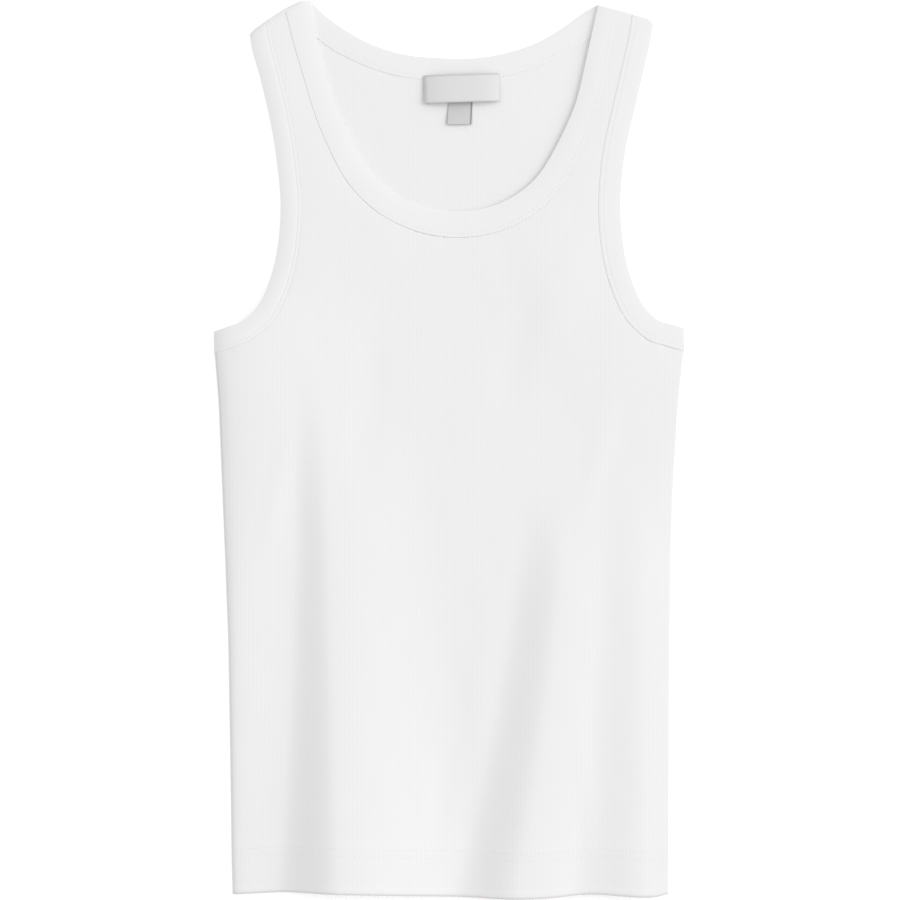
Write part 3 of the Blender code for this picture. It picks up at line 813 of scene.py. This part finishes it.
def bindingTop(d, width, strip):
    # height of the upper layer across the strip
    height = bindings["wall"] - strip["foldDeep"] * np.clip(1 - d / strip["foldRound"], 0, 1) ** 2
    swelling = np.clip(d / (width - bindings["needles"][1]), 0, 1)
    height = height + bindings["bulge"] * np.sin(np.pi * swelling)
    for needle, depth in zip(bindings["needles"], strip["grooves"]):
        height = height - depth * hump(d - (width - needle), bindings["grooveWidth"])
    deep, wide = bindings["innerEdge"]
    return height - deep * (1 - quarterRound((width - d) / wide))


def bindingSection(width, strip):
    # points across the strip: the upper face, round the fold, the lower face, and back inside
    wall, layer, tuck = bindings["wall"], bindings["layer"], bindings["tuck"]
    marks = sectionMarks
    fromSeam = list(marks["seam"])
    for needle, around in zip(bindings["needles"], (marks["nearNeedle"], marks["farNeedle"])):
        fromSeam += [needle + d for d in around]
    upper = [width - d for d in fromSeam] + list(marks["fold"])
    section = [(d, bindingTop(d, width, strip)) for d in upper]
    brow = section[-1][1]
    section += [(d, share * brow + added) for d, share, added in marks["turn"]]
    section += [(d, 0) for d in (*marks["under"], width - marks["corner"])]
    section += [(width, marks["cornerRise"]), (width, layer - marks["lowerSlack"])]
    section += [(marks["middle"], layer), (tuck, layer), (tuck - marks["corner"], wall / 2)]
    section += [(d, wall - layer - marks["upperSlack"]) for d in (tuck, marks["middle"], width)]
    return section


def buildBinding(name, strip, placeOf):
    # placeOf turns a height in the section into a height over the surface
    bm = bmesh.new()
    rings, cloth, shaded = [], [], []
    full, wide = bindings["seamLine"]
    stations = zip(*(strip[part] for part in ("edge", "cross", "lengths", "width", "seamShade")))
    for edge, cross, length, width, shade in stations:
        section = np.array(bindingSection(width, strip))
        section = np.vstack([section, section[:1]])
        spots = edge + cross * section[:, :1]
        x, h = spots[:, 0], spots[:, 1]
        rings.append(toSpace(x, h, placeOf(x, h, section[:, 1])))
        cloth.append(np.stack([np.full(len(section), length), section[:, 0]], axis=1))
        # painted shade along the seam's ditch, where the binding meets the panel
        shaded.append(shade * (1 - ease((width - section[:, 0] - full) / wide)))
    layGrid(bm, np.array(rings), np.array(cloth), np.array(shaded))
    bmesh.ops.remove_doubles(bm, verts=bm.verts, dist=bindings["merge"])
    bmesh.ops.holes_fill(bm, edges=[edge for edge in bm.edges if edge.is_boundary])
    piece = finishMesh(name, bm, materials["binding"])
    return piece


def frontBindingPlace(x, h, height):
    raised = frontSurface(x, h) + (height - garment["solidWall"]) * bindingCurl(x, h)
    return np.maximum(raised, garment["frontRest"] - bindings["settle"])


def backBindingPlace(x, h, height):
    return bindings["wall"] + (height - bindings["wall"]) * bindingCurl(x, h)


pieces = {"front_panel": frontPanel, "back_panel": backPanel}
for face, placeOf in (("front", frontBindingPlace), ("back", backBindingPlace)):
    pieces[f"neck_binding_{face}"] = buildBinding(f"neckBinding{face.title()}", strips[face], placeOf)
    for side in sides:
        name = f"armholeBinding{side.title()}{face.title()}"
        pieces[f"armhole_binding_{side}_{face}"] = buildBinding(name, strips[side], placeOf)
print("bindings folded")


# labels: tilt in degrees, and thinness of the painted shade along the edges on the left, on the right and at
# the foot
labels = {
    "neck_label": {
        "middle": (0.0083, 0.5384), "size": (0.0503, 0.0186), "tilt": 1.7, "slant": 0, "wall": 0.5 * mm,
        "top": 2.7 * mm, "drop": -0.6 * mm, "bow": 2.3 * mm, "thinness": (0.45, 8, 1),
        "material": "label", "slot": "label_weave",
    },
    "size_tab": {
        "middle": (0.0070, 0.5227), "size": (0.0162, 0.0162), "tilt": 0.5, "slant": 0.06, "wall": 0.45 * mm,
        "top": 1.75 * mm, "drop": -0.9 * mm, "bow": 0.2 * mm, "thinness": (4, 0.8, 12),
        "material": "tab", "slot": "tab_weave",
    },
}
labelMesh = {"lines": (41, 25), "bowPower": 3}
# painted shade at the labels' edges: full this far in, then fading over this width
labelEdgeShade = {"inset": 0.25 * mm, "width": 1.1 * mm}


def buildLabel(name, label):
    bm = bmesh.new()
    # columns and rows crowd towards the edges
    turns = (np.linspace(-np.pi / 2, np.pi / 2, count) for count in labelMesh["lines"])
    across, up = np.meshgrid(*(0.5 * np.sin(turn) for turn in turns))
    width, depth = label["size"]
    turn = radians(label["tilt"])
    x = label["middle"][0] + across * width * np.cos(turn) + up * depth * (label["slant"] - np.sin(turn))
    h = label["middle"][1] + across * width * np.sin(turn) + up * depth * np.cos(turn)
    bow = label["bow"] * (1 - np.abs(2 * across) ** labelMesh["bowPower"])
    z = label["top"] - label["drop"] * ease(0.5 - up) + bow
    onLeft, onRight, atFoot = label["thinness"]
    fromSides = np.minimum((across + 0.5) * onLeft, (0.5 - across) * onRight) * width
    fromEdge = np.minimum(fromSides, np.minimum(0.5 - up, (0.5 + up) * atFoot) * depth)
    # painted shade along the label's edges, where it stands off the cloth
    paintedShade = 1 - ease((fromEdge - labelEdgeShade["inset"]) / labelEdgeShade["width"])
    layGrid(bm, toSpace(x, h, z), np.stack([across * width, up * depth], axis=-1), paintedShade)
    bmesh.ops.recalc_face_normals(bm, faces=bm.faces)
    bmesh.ops.solidify(bm, geom=bm.faces, thickness=label["wall"])
    piece = finishMesh(name.replace("_", " ").title().replace(" ", ""), bm, materials[label["material"]])
    return piece


for name, label in labels.items():
    pieces[name] = buildLabel(name, label)
print("labels sewn in")


# stitches
stitch = {
    "pitch": 2.7 * mm, "size": (1.05 * mm, 0.17 * mm, 0.13 * mm),
    "lift": 0.02 * mm,  # over the upper face
    "underLevel": 0.1 * mm,  # height of the stitches on the underside
    "sideInset": 3.0 * mm, "sideLevel": 0.02,  # how far from the sides a hem's stitches end, read this high
    "hemPoints": 120,
}


def sewLine(bm, path, placeOf):
    # a row of short threads along a path on the cloth
    count = int(lengthsAlong(path)[-1] / stitch["pitch"])
    spots = evenly(path, 2 * count)[1::2]
    heights = placeOf(spots[:, 0], spots[:, 1])
    spots = [Vector(spot) for spot in toSpace(spots[:, 0], spots[:, 1], heights)]
    for before, spot, after in zip(spots[:1] + spots, spots, spots[1:] + spots[-1:]):
        turn = (after - before).to_track_quat("X", "Z").to_matrix().to_4x4()
        place = Matrix.Translation(spot) @ turn @ Matrix.Diagonal((*stitch["size"], 1))
        bmesh.ops.create_icosphere(bm, subdivisions=1, radius=1, matrix=place)


def sewBinding(name, strip, layers):
    # layers are pairs: the function that places the strip, and whether its upper layer is sewn
    bm = bmesh.new()
    width = float(np.mean(strip["width"]))
    for needle in bindings["needles"]:
        path = stripLine(strip, strip["width"] - needle)
        upperLevel = bindingTop(width - needle, width, strip) + stitch["lift"]
        for placeOf, upper in layers:
            level = upperLevel if upper else stitch["underLevel"]
            sewLine(bm, path, lambda x, h: placeOf(x, h, level))
    return finishMesh(name, bm, thread)


def hemStitches(name, hemRise, placeOf):
    bm = bmesh.new()
    for needle in hem["needles"]:
        level = stitch["sideLevel"] + needle
        start = sideAcross("left", level) + stitch["sideInset"]
        end = sideAcross("right", level) - stitch["sideInset"]
        x = np.linspace(start, end, stitch["hemPoints"])
        sewLine(bm, np.stack([x, hemHeight(x) + hemRise + needle], axis=1), placeOf)
    return finishMesh(name, bm, thread)


def onFrontHem(x, h):
    return frontPanelTop(x, h) + stitch["lift"]


def underBackHem(x, h):
    return np.full(np.shape(x), stitch["underLevel"])


seams = {
    "front_panel": hemStitches("hemStitchesFront", 0, onFrontHem),
    "back_panel": hemStitches("hemStitchesBack", hem["backRise"], underBackHem),
    "neck_binding_front": sewBinding("neckStitchesFront", strips["front"], [(frontBindingPlace, True)]),
    "neck_binding_back": sewBinding(
        "neckStitchesBack", strips["back"], [(backBindingPlace, True), (backBindingPlace, False)]
    ),
}
for side in sides:
    for face, layer in (("front", (frontBindingPlace, True)), ("back", (backBindingPlace, False))):
        name = f"armholeStitches{side.title()}{face.title()}"
        seams[f"armhole_binding_{side}_{face}"] = sewBinding(name, strips[side], [layer])
for node, piece in pieces.items():
    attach(piece, "root")
    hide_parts(node)
for piece in seams.values():
    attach(piece, "root")
print("seams sewn:", sum(len(piece.data.polygons) for piece in seams.values()), "faces")


# floor, light and camera
studio = {
    "floor": 8.0, "floorLevel": -0.05 * mm, "fill": 0.80,
    "keyPower": 219, "keySize": 4.0, "keyDistance": 6.0, "keyAzimuth": 15, "keyElevation": 25,
    "paper": {
        "Base Color": (0.96, 0.96, 0.96, 1), "Roughness": 1.0, "Specular IOR Level": 0.0,
        "Emission Color": (1, 1, 1, 1), "Emission Strength": 0.27,
    },
}
view = {"middle": (0.0005, 0.0), "width": 0.5985, "level": 0.002, "lens": 100, "sensor": 36}


def setStudio():
    bm = bmesh.new()
    bmesh.ops.create_grid(bm, x_segments=1, y_segments=1, size=studio["floor"] / 2)
    mesh = bpy.data.meshes.new("floor")
    bm.to_mesh(mesh)
    bm.free()
    mesh.transform(Matrix.Translation((0, 0, studio["floorLevel"])))
    floor = bpy.data.objects.new("floor", mesh)
    scene.collection.objects.link(floor)
    paper = bpy.data.materials.new("paper")
    paper.use_nodes = True
    for socket, value in studio["paper"].items():
        paper.node_tree.nodes["Principled BSDF"].inputs[socket].default_value = value
    mesh.materials.append(paper)
    light = bpy.data.lights.new("key", "AREA")
    light.energy, light.size = studio["keyPower"], studio["keySize"]
    key = bpy.data.objects.new("key", light)
    azimuth, elevation = radians(studio["keyAzimuth"]), radians(studio["keyElevation"])
    level = np.cos(elevation)
    towards = Vector((np.cos(azimuth) * level, np.sin(azimuth) * level, np.sin(elevation)))
    key.location = towards * studio["keyDistance"]
    key.rotation_euler = towards.to_track_quat("Z", "Y").to_euler()
    scene.collection.objects.link(key)
    world = bpy.data.worlds.new("soft")
    world.use_nodes = True
    background = world.node_tree.nodes["Background"]
    background.inputs["Color"].default_value = (1, 1, 1, 1)
    background.inputs["Strength"].default_value = studio["fill"]
    scene.world = world
    scene.view_settings.view_transform = "Standard"


def setCamera():
    lens = bpy.data.cameras.new("camera")
    lens.lens, lens.sensor_width = view["lens"], view["sensor"]
    camera = bpy.data.objects.new("camera", lens)
    distance = view["width"] * view["lens"] / view["sensor"]
    camera.location = (*view["middle"], view["level"] + distance)
    scene.collection.objects.link(camera)
    scene.camera = camera


setStudio()
setCamera()


# what each piece was cut to
cutMarks = {
    "low": 0.01, "count": 40,  # where the sides are read from, and in how many places
    "folds": 0.05, "halfSpan": 0.145,  # the height and the half width at which the folds are measured
}


def outlineArea(path):
    x, h = np.array(path).T
    return 0.5 * abs(np.sum(x * np.roll(h, -1) - np.roll(x, -1) * h))


def panelCut(neck, hemRise):
    # width, length and area of a panel's flat cloth, with its raw edges inside the bindings
    armhole = {side: stripLine(strips[side], bindings["tuck"]) for side in sides}
    heights = np.linspace(cutMarks["low"], armhole["left"][0, 1], cutMarks["count"])
    left = [(sideAcross("left", h), h) for h in heights] + list(armhole["left"])
    right = [(sideAcross("right", h), h) for h in heights] + list(armhole["right"])
    edge = left + list(stripLine(strips[neck], bindings["tuck"])) + right[::-1]
    edge += [(x, h + hemRise) for x, h in hemPath[::-1]]
    across, up = np.ptp(np.array(edge), axis=0)
    span = np.array([-1, 1]) * cutMarks["halfSpan"]
    overFolds = np.ptp(grainAcross(span, cutMarks["folds"])) / np.ptp(span) if neck == "front" else 1
    return (float(across * overFolds), float(up)), float(outlineArea(edge) * overFolds)


for face, rest, seam in (("back", "floor", "back_panel"), ("front", "backPanel", "front_panel")):
    flat, area = panelCut(face, hem["backRise"] if face == "back" else 0)
    print(face, "panel cut:", [round(size, 4) for size in flat], round(area, 4), "m2")
for name, piece in pieces.items():
    if "binding" in name:
        strip = strips[name.split("_")[2]]
        rest = "backPanel" if name.endswith("front") else "floor"
        flat = (2 * float(np.mean(strip["width"])) + bindings["wall"], float(strip["lengths"][-1]))
        print(name, "cut:", [round(size, 4) for size in flat])

print("done")
